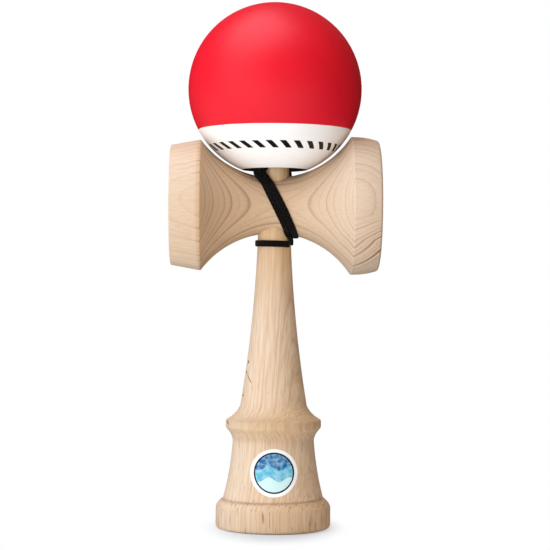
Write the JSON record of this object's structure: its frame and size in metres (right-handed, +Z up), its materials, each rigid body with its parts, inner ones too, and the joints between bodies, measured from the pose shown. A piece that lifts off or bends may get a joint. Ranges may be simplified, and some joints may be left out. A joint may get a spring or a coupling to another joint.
{
  "type": "kendama",
  "caption": "Turned wooden cup-and-ball toy: spiked handle with a foot cup, crosspiece with two cups, and a two-tone bored ball tied on with a flat black string.",
  "frame": {"origin": "centre of the foot's rim, where the handle stands on a table", "axes": "+Z up along the handle to the spike, +X towards the large cup, +Y away from the side the picture shows"},
  "size_m": [0.0718, 0.0607, 0.1819],
  "materials": {
    "beech_handle": "sanded satin, fine vertical grain",
    "beech_cross": "sanded satin, grain along the crosspiece",
    "painted_ball": "gloss paint, red above and white below",
    "bead_wood": "plain",
    "black_braid": "matte flat braid"
  },
  "bodies": {
    "ken": {"ken": "beech_handle", "string_loop": "black_braid", "string_hitch": "black_braid"},
    "sarado": {"sarado": "beech_cross", "string_sling": "black_braid"},
    "bead": {"bead": "bead_wood", "bead_knot": "black_braid", "string_tuck": "black_braid", "string_back": "black_braid"},
    "tama": {"tama": "painted_ball"}
  },
  "joints": [
    {"name": "sarado_slide", "type": "slide", "parent": "ken", "child": "sarado", "axis": [0, 0, 1], "range_m": [0, 0.065], "deforming": ["string_loop"]},
    {"name": "tama_lift", "type": "slide", "parent": "sarado", "child": "bead", "axis": [0, 0, 1], "range_m": [0, 0.045], "deforming": ["string_tuck", "string_back"]},
    {"name": "tama_spin", "type": "hinge", "parent": "bead", "child": "tama", "pos_m": [0, 0, 0.1513], "axis": [0, 0, 1], "continuous": true}
  ]
}
